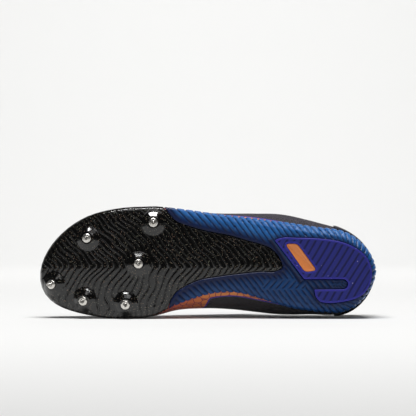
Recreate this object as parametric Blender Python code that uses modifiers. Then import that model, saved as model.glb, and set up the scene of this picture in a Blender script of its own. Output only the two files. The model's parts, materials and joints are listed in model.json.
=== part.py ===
"""Track spike shoe for the left foot, size EU 42.5, lying on its medial side.

The shoe is drawn upright: X runs from heel to toe, +Y to the lateral side, Z up from the ground.
An empty then lays it down: toe to -X, sole to -Y, lateral side up, resting on sole edge and upper.
"""
import math
from collections import namedtuple

import bmesh
import bpy
from mathutils import Matrix, Vector

# Driving sizes of the last and the sole, in metres
LENGTH = 0.291
BALL_WIDTH = 0.0966
HEEL_STACK = 0.014
TOE_SPRING = 0.021
COLLAR_HEIGHT = 0.078
LIP_HEIGHT = 0.012
HEEL_ROUND = 0.038
TOE_ROUND = 0.079
HEEL_FULLNESS = 0.60
TOE_FULLNESS = 0.48

# Walls and clearances
GAP = 0.0003
RIM = 0.0022
WALL = 0.0021
PLATE = 0.0026
PLATE_RECESS = 0.0015
PAD = 0.0030
PAD_PROUD = 0.0010
BADGE_SUNK = 0.0004
INSOLE = 0.0032
TONGUE = 0.0032
OVERLAY = 0.0010
OVERLAY_SEAT = 0.0004

# Ribs of the foam's side
RIB_PITCH = 0.0068
RIB_GROOVE = 0.0020
RIB_DEPTH = 0.0011
RIB_LEAN = 0.0120

# Spikes, with their bosses and bores
PIN_LENGTH = 0.0065
PIN_RADIUS = 0.0019
PIN_TIP = 0.0006
FLANGE_RADIUS = 0.0040
FLANGE = 0.0014
STUB_RADIUS = 0.0024
STUB_LENGTH = 0.0022
BORE_PLAY = 0.0004
BOSS_RADIUS = 0.0098
BOSS_TOP = 0.0054
BOSS_HEIGHT = 0.0034
BOSS_EDGE = 0.0004

# The heel counter's half span in columns of the upper, and the tab at the back of the collar
HEEL_SPAN = 5
TAB = 0.0014
TAB_WIDTH = 0.0130
TAB_RISE = 0.0100

# Laces
EYELETS = 6
LACE_WIDTH = 0.0055
LACE = 0.0014
LACE_ARCH = 0.10
LACE_TILT = 0.0012
TOP_EYELET = 0.398
LOW_EYELET = 0.632

# How finely the upper is divided: columns round the foot, rows up the side
COLUMNS = 60
ROWS = 10
# Length of one facet along the flat faces of the sole
FACET = 0.008

# The sole, from heel to toe. Lengths are shares of LENGTH (at), BALL_WIDTH (centre, half),
# TOE_SPRING (ground, the height of the underside) and HEEL_STACK (stack, the sole under the foot).
Sole = namedtuple("Sole", "at centre half ground stack")
SOLE = [
    Sole(0.000, -0.020, 0.372, 0.290, 0.76),
    Sole(0.050, -0.022, 0.373, 0.050, 0.92),
    Sole(0.096, -0.019, 0.375, 0.000, 1.00),
    Sole(0.238, 0.028, 0.382, 0.000, 0.90),
    Sole(0.290, 0.060, 0.372, 0.055, 0.76),
    Sole(0.345, 0.098, 0.357, 0.125, 0.62),
    Sole(0.415, 0.139, 0.342, 0.210, 0.42),
    Sole(0.488, 0.149, 0.360, 0.200, 0.31),
    Sole(0.550, 0.138, 0.399, 0.150, 0.245),
    Sole(0.615, 0.113, 0.449, 0.050, 0.205),
    Sole(0.670, 0.080, 0.492, 0.005, 0.20),
    Sole(0.728, 0.071, 0.495, 0.000, 0.20),
    Sole(0.788, 0.060, 0.495, 0.065, 0.20),
    Sole(0.847, 0.049, 0.495, 0.210, 0.20),
    Sole(0.905, 0.022, 0.495, 0.440, 0.20),
    Sole(0.950, -0.010, 0.495, 0.660, 0.20),
    Sole(1.000, -0.052, 0.495, 1.000, 0.20),
]

# The last, column by column round the foot: side is 1 lateral and -1 medial, and at is where the
# column stands on the sole. lip (of LIP_HEIGHT) is the sole's lip above the bed, bulge (of
# BALL_WIDTH) the widest place outside the sole's edge, widest (of COLLAR_HEIGHT) its height.
# top_at, top_across and top_height end the column at collar or throat, and puff rounds it below.
Last = namedtuple("Last", "side at lip bulge widest top_at top_across top_height puff")
LAST = [
    Last(1, 0.000, 1.00, -0.006, 0.42, 0.045, 0.000, 1.00, 0.016),
    Last(1, 0.048, 1.00, 0.002, 0.42, 0.058, 0.150, 0.96, 0.016),
    Last(1, 0.120, 0.92, 0.018, 0.44, 0.115, 0.285, 0.86, 0.016),
    Last(1, 0.213, 0.70, 0.057, 0.46, 0.206, 0.345, 0.76, 0.012),
    Last(1, 0.316, 0.54, 0.065, 0.46, 0.302, 0.345, 0.84, 0.022),
    Last(1, 0.405, 0.46, 0.030, 0.42, 0.385, 0.285, 1.05, 0.045),
    Last(1, 0.515, 0.42, -0.004, 0.35, 0.468, 0.225, 0.96, 0.062),
    Last(1, 0.636, 0.34, -0.002, 0.27, 0.560, 0.170, 0.84, 0.062),
    Last(1, 0.740, 0.34, 0.004, 0.25, 0.626, 0.128, 0.75, 0.065),
    Last(1, 0.866, 0.38, -0.002, 0.31, 0.656, 0.078, 0.71, 0.074),
    Last(1, 1.000, 0.42, -0.016, 0.45, 0.664, 0.020, 0.70, 0.092),
    Last(-1, 0.907, 0.38, -0.005, 0.35, 0.656, -0.028, 0.71, 0.083),
    Last(-1, 0.784, 0.34, 0.000, 0.24, 0.630, -0.072, 0.75, 0.074),
    Last(-1, 0.680, 0.30, 0.012, 0.26, 0.568, -0.112, 0.845, 0.062),
    Last(-1, 0.612, 0.24, 0.042, 0.31, 0.516, -0.145, 0.92, 0.060),
    Last(-1, 0.515, 0.18, 0.130, 0.43, 0.462, -0.180, 0.99, 0.050),
    Last(-1, 0.412, 0.17, 0.166, 0.49, 0.385, -0.222, 1.08, 0.040),
    Last(-1, 0.316, 0.30, 0.119, 0.49, 0.302, -0.290, 0.87, 0.022),
    Last(-1, 0.213, 0.56, 0.046, 0.41, 0.206, -0.322, 0.77, 0.012),
    Last(-1, 0.120, 0.62, 0.016, 0.30, 0.115, -0.280, 0.87, 0.016),
    Last(-1, 0.048, 0.88, 0.003, 0.34, 0.058, -0.155, 0.96, 0.016),
]

# Where the plate meets the foam, from past the lateral edge round the plate's rear tongue
Place = namedtuple("Place", "at across")
PLATE_EDGE = [
    Place(0.655, 0.640), Place(0.625, 0.550), Place(0.594, 0.443), Place(0.553, 0.394),
    Place(0.488, 0.342), Place(0.434, 0.310), Place(0.381, 0.262), Place(0.335, 0.222),
    Place(0.312, 0.190), Place(0.282, 0.062), Place(0.279, 0.022), Place(0.292, -0.008),
    Place(0.345, -0.018), Place(0.416, -0.039), Place(0.470, -0.060), Place(0.523, -0.087),
    Place(0.566, -0.142), Place(0.595, -0.200), Place(0.612, -0.285), Place(0.622, -0.400),
]

# The rubber pad under the heel, with a round-ended slot running in from its front edge
PAD_EDGE = [
    Place(0.303, 0.262), Place(0.290, 0.280), Place(0.238, 0.284), Place(0.167, 0.275),
    Place(0.096, 0.235), Place(0.060, 0.181), Place(0.034, 0.115), Place(0.020, 0.030),
    Place(0.016, -0.034), Place(0.025, -0.150), Place(0.046, -0.227), Place(0.078, -0.269),
    Place(0.113, -0.289), Place(0.160, -0.291), Place(0.172, -0.280), Place(0.184, -0.235),
]
SLOT_WIDTH = 0.0088
SLOT_CENTRE = -0.130
SLOT_END = 0.088
PAD_NOSE = Place(0.217, -0.083)

BADGE = [Place(0.272, 0.230), Place(0.237, 0.232), Place(0.180, -0.006), Place(0.215, -0.020)]
BADGE_CORNER = 0.0016

# Each spike's place, and how far it leans to the toe and to the lateral side
Spike = namedtuple("Spike", "at across toeward outward")
SPIKES = [
    Spike(0.660, 0.425, 0.00, 0.04),
    Spike(0.704, 0.062, 0.00, 0.00),
    Spike(0.742, -0.297, 0.04, -0.10),
    Spike(0.853, 0.291, 0.00, 0.02),
    Spike(0.864, -0.263, 0.06, -0.10),
    Spike(0.957, -0.120, 0.06, -0.02),
]

SKIVE = 0.535
TIP = 0.640
MATERIALS = {
    "plate": ((0.012, 0.012, 0.013), 0.18, 0.0),
    "foam": ((0.035, 0.110, 0.330), 0.55, 0.0),
    "pad": ((0.050, 0.040, 0.240), 0.60, 0.0),
    "badge": ((0.740, 0.250, 0.070), 0.45, 0.0),
    "steel": ((0.720, 0.710, 0.690), 0.28, 1.0),
    "mesh": ((0.045, 0.038, 0.046), 0.85, 0.0),
    "overlay": ((0.014, 0.012, 0.018), 0.60, 0.0),
    "lining": ((0.060, 0.050, 0.075), 0.90, 0.0),
    "lace": ((0.050, 0.035, 0.160), 0.80, 0.0),
}
# kg per cubic metre; cloth and foam hold mostly air
DENSITY = {"plate": 1100, "pad": 1200, "badge": 1100, "steel": 7850, "overlay": 1100}
LIGHT = 300


def clear_scene():
    """Removes every object the file starts with."""
    for thing in list(bpy.data.objects):
        bpy.data.objects.remove(thing, do_unlink=True)


def new_collection(name):
    """A collection linked to the scene."""
    group = bpy.data.collections.new(name)
    bpy.context.scene.collection.children.link(group)
    return group


def make_material(name):
    """A Principled material from the table of colours."""
    colour, roughness, metallic = MATERIALS[name]
    material = bpy.data.materials.new(name)
    material.use_nodes = True
    shader = material.node_tree.nodes["Principled BSDF"]
    shader.inputs["Base Color"].default_value = (*colour, 1.0)
    shader.inputs["Roughness"].default_value = roughness
    shader.inputs["Metallic"].default_value = metallic
    material.diffuse_color = (*colour, 1.0)
    return material


def between(places, values, place, free=False):
    """The value at a place, on a smooth curve through the rows. It never overshoots unless free."""
    last = len(places) - 1
    place = min(max(place, places[0]), places[last])
    i = max(k for k in range(last) if places[k] <= place)
    steps = [places[k + 1] - places[k] for k in range(last)]
    rises = [(values[k + 1] - values[k]) / steps[k] for k in range(last)]

    def slope(k):
        if k in (0, last):
            return rises[min(k, last - 1)]
        before, after = rises[k - 1], rises[k]
        mean = (before * steps[k] + after * steps[k - 1]) / (steps[k] + steps[k - 1])
        if free:
            return mean
        if before * after <= 0:
            return 0.0
        limit = 3 * min(abs(before), abs(after))
        return max(-limit, min(limit, mean))

    step = steps[i]
    t = (place - places[i]) / step
    start, end = slope(i) * step, slope(i + 1) * step
    return ((2 * t ** 3 - 3 * t ** 2 + 1) * values[i] + (t ** 3 - 2 * t ** 2 + t) * start
            + (3 * t ** 2 - 2 * t ** 3) * values[i + 1] + (t ** 3 - t ** 2) * end)


def sole_value(column, along):
    """One column of the sole's table at a distance from the heel."""
    places = [row.at * LENGTH for row in SOLE]
    return between(places, [getattr(row, column) for row in SOLE], along)


def ground(along):
    """Height of the sole's underside."""
    return sole_value("ground", along) * TOE_SPRING


def bed(along):
    """Height of the surface under the foot. It is never thinner than the plate."""
    return ground(along) + max(sole_value("stack", along) * HEEL_STACK, PLATE)


def recess(along):
    """How far the plate lies above the foam's ribs. It runs out at the foam's front tips."""
    run = min(max((TIP - along / LENGTH) / (TIP - SKIVE), 0.0), 1.0)
    return PLATE_RECESS * run


def plate_top(along):
    """Height of the plate's upper face."""
    return min(ground(along) + recess(along) + PLATE, bed(along))


def sole_edge(along, side):
    """Across position of the sole's edge, with heel and toe rounded off."""
    heel = min(max(along / HEEL_ROUND, 0.0), 1.0)
    toe = min(max((LENGTH - along) / TOE_ROUND, 0.0), 1.0)
    rounding = (1 - (1 - heel) ** 2) ** HEEL_FULLNESS * (1 - (1 - toe) ** 2) ** TOE_FULLNESS
    half = sole_value("half", along) * rounding
    return (sole_value("centre", along) + side * half) * BALL_WIDTH


class Line:
    """A line in plan that is read by the distance run along it. Out is to its left."""

    def __init__(self, points, closed=False):
        self.closed = closed
        self.points = points + [points[0]] if closed else points
        self.runs = [0.0]
        for a, b in zip(self.points, self.points[1:]):
            self.runs.append(self.runs[-1] + (b - a).length)
        self.length = self.runs[-1]

    def point(self, run):
        run = run % self.length if self.closed else min(max(run, 0.0), self.length)
        low, high = 0, len(self.runs) - 1
        while high - low > 1:
            middle = (low + high) // 2
            if self.runs[middle] <= run:
                low = middle
            else:
                high = middle
        share = (run - self.runs[low]) / max(self.runs[high] - self.runs[low], 1e-9)
        return self.points[low].lerp(self.points[high], share)

    def out(self, run, reach=0.0015):
        ahead = self.point(run + reach) - self.point(run - reach)
        return Vector((-ahead.y, ahead.x)).normalized()

    def offset(self, run, distance):
        return self.point(run) + self.out(run) * distance


def edge_line(steps=240):
    """The sole's whole outline from the heel by the lateral side to the toe and back."""
    stations = [LENGTH * (1 - math.cos(math.pi * k / steps)) / 2 for k in range(steps + 1)]
    lateral = [Vector((x, sole_edge(x, 1))) for x in stations]
    medial = [Vector((x, sole_edge(x, -1))) for x in reversed(stations[1:-1])]
    return Line(lateral + medial, closed=True)


def run_at(line, at, side):
    """Distance along the outline to a station on one side."""
    target = at * LENGTH
    half = min(range(len(line.points)), key=lambda k: (line.points[k] - Vector((LENGTH, 0))).x ** 2)
    span = range(half + 1) if side > 0 else range(half, len(line.points))
    return line.runs[min(span, key=lambda k: abs(line.points[k].x - target))]


def smooth_line(places, steps=4):
    """A curve through a table of places, turned from shares into metres."""
    points = [Vector((p.at * LENGTH, p.across * BALL_WIDTH)) for p in places]
    runs = [0.0]
    for a, b in zip(points, points[1:]):
        runs.append(runs[-1] + (b - a).length)
    result = []
    for k in range(len(points) - 1):
        for step in range(steps):
            run = runs[k] + (runs[k + 1] - runs[k]) * step / steps
            result.append(Vector([between(runs, [p[axis] for p in points], run, free=True)
                                  for axis in (0, 1)]))
    return result + [points[-1]]


def add_object(name, mesh, group, parent, material=None):
    """Turns a bmesh into a named object under the shoe's empty."""
    data = bpy.data.meshes.new(name)
    mesh.to_mesh(data)
    mesh.free()
    data.shade_smooth()
    data.set_sharp_from_angle(angle=math.radians(40))
    thing = bpy.data.objects.new(name, data)
    group.objects.link(thing)
    thing.parent = parent
    if material:
        data.materials.append(material)
    return thing


def ring_mesh(rings, split=True):
    """One closed solid from a stack of rings with equal counts, filled at both ends."""
    mesh = bmesh.new()
    loops = [[mesh.verts.new(point) for point in ring] for ring in rings]
    for lower, upper in zip(loops, loops[1:]):
        for k in range(len(lower)):
            following = (k + 1) % len(lower)
            mesh.faces.new((lower[k], lower[following], upper[following], upper[k]))
    ends = [mesh.faces.new(loop) for loop in (loops[0], loops[-1])]
    bmesh.ops.recalc_face_normals(mesh, faces=mesh.faces)
    if split:
        split_lengthwise(mesh, ends)
    return mesh


def split_lengthwise(mesh, faces):
    """Divides long faces across the shoe, so that they follow its curve from heel to toe."""
    low = min(v.co.x for face in faces for v in face.verts)
    high = max(v.co.x for face in faces for v in face.verts)
    count = math.ceil((high - low) / FACET)
    for k in range(1, count):
        geometry = set(faces)
        for face in faces:
            geometry.update(face.edges)
            geometry.update(face.verts)
        plane = Vector((low + (high - low) * k / count, 0, 0))
        cut = bmesh.ops.bisect_plane(mesh, geom=list(geometry), dist=1e-6, plane_co=plane,
                                     plane_no=(1, 0, 0))
        faces = [part for part in cut["geom"] if isinstance(part, bmesh.types.BMFace)]


def slab(points, low, high):
    """A plate of any outline whose lower and upper faces follow two heights along the shoe."""
    mesh = bmesh.new()
    under = mesh.faces.new([mesh.verts.new((*p, 0)) for p in points])
    split_lengthwise(mesh, [under])
    result = bmesh.ops.extrude_face_region(mesh, geom=mesh.faces[:])
    raised = {part for part in result["geom"] if isinstance(part, bmesh.types.BMVert)}
    for vertex in mesh.verts:
        vertex.co.z = high(vertex.co.x) if vertex in raised else low(vertex.co.x)
    bmesh.ops.recalc_face_normals(mesh, faces=mesh.faces)
    return mesh


def cutter(name, mesh, group, parent):
    """A hidden object for a Boolean."""
    thing = add_object(name, mesh, group, parent)
    thing.display_type = "WIRE"
    thing.hide_render = True
    return thing


def boolean(thing, other, operation):
    """Adds an exact Boolean to an object."""
    modifier = thing.modifiers.new(operation.lower(), "BOOLEAN")
    modifier.operation = operation
    modifier.object = other


def last_value(line, column, run, runs):
    """One column of the last's table, on a closed curve round the foot."""
    values = [getattr(row, column) for row in LAST]
    places = [runs[-1] - line.length, *runs, line.length, line.length + runs[1]]
    return between(places, [values[-1], *values, values[0], values[1]], run % line.length, free=True)


def last_runs(line):
    """Where each row of the last's table stands along the sole's edge."""
    return [run_at(line, row.at, row.side) if row.at else 0.0 for row in LAST]


def lip_above(line, run, runs):
    """Height of the sole's lip above the bed."""
    return last_value(line, "lip", run, runs) * LIP_HEIGHT


def upper_column(line, run, runs):
    """One column of the upper's outside, from the bed by the widest place to collar or throat."""
    inset = RIM + GAP
    foot = line.offset(run, -inset)
    floor = bed(foot.x) + GAP
    widest = line.offset(run, last_value(line, "bulge", run, runs) * BALL_WIDTH)
    top = Vector((last_value(line, "top_at", run, runs) * LENGTH,
                  last_value(line, "top_across", run, runs) * BALL_WIDTH,
                  last_value(line, "top_height", run, runs) * COLLAR_HEIGHT))
    low = Vector((*foot, floor))
    lip = Vector((*foot, floor + lip_above(line, run, runs)))
    wide = Vector((*widest, last_value(line, "widest", run, runs) * COLLAR_HEIGHT))
    chord = top - wide
    flat = Vector((chord.x, chord.y, 0.0))
    lift = Vector((0, 0, 1)) * flat.length - flat.normalized() * chord.z
    puff = last_value(line, "puff", run, runs) * BALL_WIDTH
    crown = wide + chord * 0.42 + lift.normalized() * puff
    knots = [lip, wide, crown, top]
    spans = [0.0]
    for a, b in zip(knots, knots[1:]):
        spans.append(spans[-1] + (b - a).length)
    column = [low]
    for row in range(ROWS):
        place = spans[-1] * row / (ROWS - 1)
        column.append(Vector([between(spans, [k[axis] for k in knots], place, free=True)
                              for axis in range(3)]))
    return column


def upper_grid(line, runs):
    """The whole outside of the upper, with its normals."""
    grid = [upper_column(line, line.length * k / COLUMNS, runs) for k in range(COLUMNS)]
    normals = []
    for i, column in enumerate(grid):
        after, before = grid[(i + 1) % COLUMNS], grid[i - 1]
        normals.append([])
        for j in range(ROWS + 1):
            up = column[min(j + 1, ROWS)] - column[max(j - 1, 0)]
            along = after[j] - before[j]
            normals[-1].append(up.cross(along).normalized())
    return grid, normals


def sheet(name, points, closed, thickness, offset, group, parent, material):
    """A skin of points, row by row, given its thickness by Solidify."""
    mesh = bmesh.new()
    verts = [[mesh.verts.new(p) for p in column] for column in points]
    count = len(verts)
    for i in range(count if closed else count - 1):
        a, b = verts[i], verts[(i + 1) % count]
        for j in range(len(a) - 1):
            mesh.faces.new((a[j], a[j + 1], b[j + 1], b[j]))
    thing = add_object(name, mesh, group, parent, material)
    solid = thing.modifiers.new("wall", "SOLIDIFY")
    solid.thickness = thickness
    solid.offset = offset
    solid.use_even_offset = False
    return thing


def patch(name, grid, normals, columns, rows, group, parent, material):
    """An overlay lying on part of the upper, cut from the upper's own grid."""
    points = [[grid[i % COLUMNS][j] + normals[i % COLUMNS][j] * OVERLAY_SEAT for j in rows]
              for i in columns]
    return sheet(name, points, False, OVERLAY, 1, group, parent, material)


# What the foam's section passes through: inset from the edge, share of the side's height, and
# share of the groove's depth
FOAM_SECTION = [
    (0.0128, 0.000, 0.0), (0.0108, 0.006, 1.0), (0.0056, 0.055, 1.0), (0.0016, 0.210, 1.0),
    (0.0000, 0.480, 1.0), (0.0002, 0.860, 0.7), (0.0011, 1.000, 0.0),
]


def foam_runs(line):
    """Where the ribs stand, from the lateral front tip round the heel to the medial one."""
    start = run_at(line, TIP, 1)
    end = line.length - run_at(line, TIP, -1)
    count = max(8, round((start + end) / RIB_PITCH))
    step = (start + end) / count
    shares = (0.0, 1 - RIB_GROOVE / RIB_PITCH, 1 - RIB_GROOVE / RIB_PITCH / 2)
    runs = [(start - step * (k + share), share == shares[2]) for k in range(count) for share in shares]
    return runs + [(-end, False)]


def foam_section(line, run, runs, groove, lean):
    """One column of the midsole, from its underside over the lip to the cup's floor."""
    column = []
    station = line.point(run).x
    side = bed(station) + lip_above(line, run, runs) - ground(station)
    depth = RIB_DEPTH * min(side / LIP_HEIGHT, 1.0) if groove else 0.0
    for inset, share, cut in FOAM_SECTION:
        place = run + lean * share
        here = line.point(place)
        side = bed(here.x) + lip_above(line, place, runs) - ground(here.x)
        turn = min(share / 0.42, 1.0) * math.pi / 2
        spot = line.offset(place, -inset - depth * cut * math.sin(turn))
        column.append(Vector((*spot, ground(spot.x) + side * share + depth * cut * math.cos(turn))))
    crest = line.offset(run + lean, -RIM)
    level = bed(crest.x)
    column.append(Vector((*crest, level + lip_above(line, run + lean, runs) - RIM / 3)))
    column.append(Vector((*crest, level)))
    return column


def make_midsole(line, runs, shoe, group, cutters, material):
    """The foam midsole: a ribbed cup from the heel to two tips beside the plate."""
    ends = foam_runs(line)
    lean_start, lean_end = ends[0][0], ends[-1][0]
    columns = []
    for run, groove in ends:
        fade = min((lean_start - run) / RIB_LEAN, (run - lean_end) / RIB_LEAN, 1.0)
        columns.append(foam_section(line, run, runs, groove, RIB_LEAN * max(fade, 0.0)))
    rings = [[column[k] for column in columns] for k in range(len(columns[0]))]
    midsole = add_object("midsole", ring_mesh(rings), group, shoe, material)

    edge = smooth_line(PLATE_EDGE)
    front = [Vector((LENGTH * 1.1, -BALL_WIDTH)), Vector((LENGTH * 1.1, BALL_WIDTH))]

    def pocket_top(x):
        through = max(x / LENGTH - SKIVE, 0.0) * LENGTH
        return ground(x) + recess(x) + PLATE + GAP + min(through, LIP_HEIGHT * 2)

    pocket = cutter("plate_pocket", slab(edge + front, lambda x: -TOE_SPRING, pocket_top),
                    cutters, shoe)
    boolean(midsole, pocket, "DIFFERENCE")
    seat = cutter("pad_seat", slab(grow(pad_outline(), GAP), lambda x: -TOE_SPRING,
                                   lambda x: ground(x) + PAD - PAD_PROUD + GAP), cutters, shoe)
    boolean(midsole, seat, "DIFFERENCE")
    return midsole


def grow(points, distance):
    """An outline moved outward; points run clockwise as seen from above."""
    ring = Line(points, closed=True)
    reach = 0.0006
    return [p + ring.out(run, reach) * distance for p, run in zip(points, ring.runs)]


def pad_outline():
    """The heel pad's outline with its slot, clockwise from the front lateral corner."""
    back = smooth_line(PAD_EDGE, 3)
    centre = SLOT_CENTRE * BALL_WIDTH
    half = SLOT_WIDTH / 2
    end = SLOT_END * LENGTH + half
    mouth_low = Vector((PAD_EDGE[-1].at * LENGTH + 0.001, centre - half))
    turns = [math.pi * k / 8 for k in range(9)]
    arc = [Vector((end - half * math.sin(a), centre - half * math.cos(a))) for a in turns]
    nose = Vector((PAD_NOSE.at * LENGTH, PAD_NOSE.across * BALL_WIDTH))
    return list(reversed(back + [mouth_low] + arc + [nose]))


def make_heel_pad(shoe, group, cutters, material):
    """The rubber pad let into the foam under the heel, open where the badge lies."""
    mesh = slab(pad_outline(), lambda x: ground(x) - PAD_PROUD, lambda x: ground(x) + PAD - PAD_PROUD)
    pad = add_object("heel_outsole", mesh, group, shoe, material)
    window = cutter("badge_window", slab(grow(badge_outline(), GAP), lambda x: -TOE_SPRING,
                                         lambda x: TOE_SPRING), cutters, shoe)
    boolean(pad, window, "DIFFERENCE")
    return pad


def badge_outline():
    """The plaque: a parallelogram with round corners."""
    corners = [Vector((p.at * LENGTH, p.across * BALL_WIDTH)) for p in BADGE]
    points = []
    for k, corner in enumerate(corners):
        before = (corners[k - 1] - corner).normalized()
        after = (corners[(k + 1) % len(corners)] - corner).normalized()
        start, end = corner + before * BADGE_CORNER * 2, corner + after * BADGE_CORNER * 2
        for share in (0.0, 0.33, 0.67, 1.0):
            points.append(start.lerp(corner, share).lerp(corner.lerp(end, share), share))
    return points if signed_area(points) < 0 else points[::-1]


def signed_area(points):
    """Plan area of an outline, negative when it runs clockwise."""
    return sum(a.x * b.y - b.x * a.y for a, b in zip(points, points[1:] + points[:1])) / 2


def make_badge(shoe, group, material):
    """The plaque between heel pad and plate, a little below the pad's face."""
    low = -PAD_PROUD + BADGE_SUNK
    mesh = slab(badge_outline(), lambda x: ground(x) + low, lambda x: ground(x) + PAD - PAD_PROUD)
    return add_object("heel_badge", mesh, group, shoe, material)


def spike_frame(spike):
    """Turns +Z to a spike's direction, at the plate's underside."""
    x, y = spike.at * LENGTH, spike.across * BALL_WIDTH
    small = LENGTH / 200
    rise = (ground(x + small) - ground(x - small)) / (2 * small)
    down = Vector((rise + spike.toeward, spike.outward, -1.0)).normalized()
    turn = Vector((0, 0, 1)).rotation_difference(down).to_matrix().to_4x4()
    return Matrix.Translation((x, y, ground(x) + recess(x))) @ turn


def turned(profile, steps=10):
    """A closed solid of revolution about Z from (radius, height) points that run upward."""
    mesh = bmesh.new()
    verts = [mesh.verts.new((radius, 0, height)) for radius, height in profile]
    edges = [mesh.edges.new(pair) for pair in zip(verts, verts[1:])]
    bmesh.ops.spin(mesh, geom=verts + edges, cent=(0, 0, 0), axis=(0, 0, 1),
                   angle=math.tau, steps=steps, use_merge=True)
    bmesh.ops.remove_doubles(mesh, verts=mesh.verts, dist=1e-6)
    bmesh.ops.recalc_face_normals(mesh, faces=mesh.faces)
    return mesh


# What the plate's section passes through: inset from the edge, share of the side's height
PLATE_SECTION = [(0.0062, 0.0), (0.0018, 0.10), (0.0, 0.50), (0.0003, 0.93), (0.0011, 1.0),
                 (RIM, 0.97)]


def make_plate(line, runs, shoe, group, cutters, material):
    """The forefoot plate: a shallow tray with an upturned rim, a rear tongue and six bosses."""
    start = run_at(line, 0.26, 1)
    end = run_at(line, 0.26, -1)
    count = 72
    columns = []
    for k in range(count + 1):
        run = start + (end - start) * k / count
        x = line.point(run).x
        side = PLATE + lip_above(line, run, runs)
        column = []
        for inset, share in PLATE_SECTION:
            spot = line.offset(run, -inset)
            column.append(Vector((*spot, ground(spot.x) + recess(x) + side * share)))
        inner = line.offset(run, -RIM)
        column.append(Vector((*inner, plate_top(inner.x))))
        columns.append(column)
    rings = [[column[k] for column in columns] for k in range(len(columns[0]))]
    plate = add_object("outsole_plate", ring_mesh(rings), group, shoe, material)
    edge = smooth_line(PLATE_EDGE)
    track = Line(edge)
    inner = [track.offset(run, GAP) for run in track.runs]
    front = [Vector((LENGTH * 1.1, -BALL_WIDTH)), Vector((LENGTH * 1.1, BALL_WIDTH))]
    prism = cutter("plate_outline", slab(inner + front, lambda x: -COLLAR_HEIGHT,
                                         lambda x: COLLAR_HEIGHT), cutters, shoe)
    boolean(plate, prism, "INTERSECT")
    root = PLATE * 0.5
    bore_floor = BOSS_HEIGHT - STUB_LENGTH - BORE_PLAY
    bore = STUB_RADIUS + BORE_PLAY
    profile = [(0, -root), (BOSS_RADIUS, -root), (BOSS_RADIUS, BOSS_EDGE),
               (BOSS_TOP, BOSS_HEIGHT), (bore, BOSS_HEIGHT), (bore, bore_floor), (0, bore_floor)]
    for number, spike in enumerate(SPIKES, 1):
        boss = cutter(f"boss_{number}", turned(profile, 16), cutters, shoe)
        boss.matrix_local = spike_frame(spike)
        boolean(plate, boss, "UNION")
    return plate


def make_spikes(shoe, group, material):
    """Six steel spikes, each with a stub in its boss, a flange and a tapering pin."""
    seat = BOSS_HEIGHT + GAP
    profile = [(0, seat - STUB_LENGTH), (STUB_RADIUS, seat - STUB_LENGTH), (STUB_RADIUS, seat),
               (FLANGE_RADIUS, seat), (FLANGE_RADIUS, seat + FLANGE * 0.6),
               (FLANGE_RADIUS * 0.8, seat + FLANGE), (PIN_RADIUS, seat + FLANGE),
               (PIN_TIP, seat + FLANGE + PIN_LENGTH), (0, seat + FLANGE + PIN_LENGTH)]
    for number, spike in enumerate(SPIKES, 1):
        pin = add_object(f"spike_{number}", turned(profile), group, shoe, material)
        pin.matrix_local = spike_frame(spike)


def make_insole(line, shoe, group, material):
    """The insole, lying on the bed inside the upper's wall."""
    inset = RIM + GAP + WALL + GAP * 2
    points = [line.offset(line.length * k / COLUMNS, -inset) for k in range(COLUMNS)]
    mesh = slab(points, lambda x: bed(x) + GAP, lambda x: bed(x) + GAP + INSOLE)
    return add_object("insole", mesh, group, shoe, material)


def throat_place(grid, at, side):
    """Column index, as a real number, where the throat's edge passes a station on one side."""
    half = COLUMNS // 2
    indices = range(half) if side > 0 else range(COLUMNS - 1, half, -1)
    target = at * LENGTH
    for i in indices:
        step = 1 if side > 0 else -1
        here, there = grid[i][ROWS].x, grid[(i + step) % COLUMNS][ROWS].x
        if here <= target < there:
            return i + step * (target - here) / (there - here)
    return float(half)


def grid_point(grid, place, row):
    """A point between two columns of a grid."""
    low = math.floor(place)
    return grid[low % COLUMNS][row].lerp(grid[(low + 1) % COLUMNS][row], place - low)


def tongue_section(grid, normals, at):
    """Centre of the tongue's section under both edges of the throat at one station."""
    depth = WALL + GAP * 3 + TONGUE / 2
    ends = []
    for side in (1, -1):
        place = throat_place(grid, at, side)
        pair = []
        for row in (ROWS - 2, ROWS - 1, ROWS):
            normal = grid_point(normals, place, row).normalized()
            pair.append(grid_point(grid, place, row) - normal * depth)
        ends.append(pair)
    lateral, medial = ends
    middle = (lateral[-1] + medial[-1]) / 2
    lift = Vector((0.35, 0, 1)).normalized() * (lateral[-1] - medial[-1]).length * 0.07
    knots = [*lateral, middle + lift, *reversed(medial)]
    spans = [0.0]
    for a, b in zip(knots, knots[1:]):
        spans.append(spans[-1] + (b - a).length)
    count = 9
    return [Vector([between(spans, [k[axis] for k in knots], spans[-1] * n / (count - 1), free=True)
                    for axis in range(3)]) for n in range(count)]


TONGUE_AT = (0.385, 0.43, 0.48, 0.53, 0.58, 0.62)
TONGUE_RISE = 0.022
TONGUE_NARROW = 0.78


def make_tongue(grid, normals, shoe, group, material):
    """The tongue, from under the vamp to a round end above the collar."""
    sections = [tongue_section(grid, normals, at) for at in reversed(TONGUE_AT)]
    centre = sum(sections[-1], Vector()) / len(sections[-1])
    top = [centre + (p - centre) * TONGUE_NARROW for p in sections.pop()]
    sections.append(top)
    heading = Vector((-0.62, 0, 0.78))
    for share in (0.35, 0.7, 0.92, 1.0):
        width = 1 - 0.55 * share ** 4
        sections.append([centre + (p - centre) * width + heading * TONGUE_RISE * share for p in top])
    return sheet("tongue", sections, False, TONGUE, 0, group, shoe, material)


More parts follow.
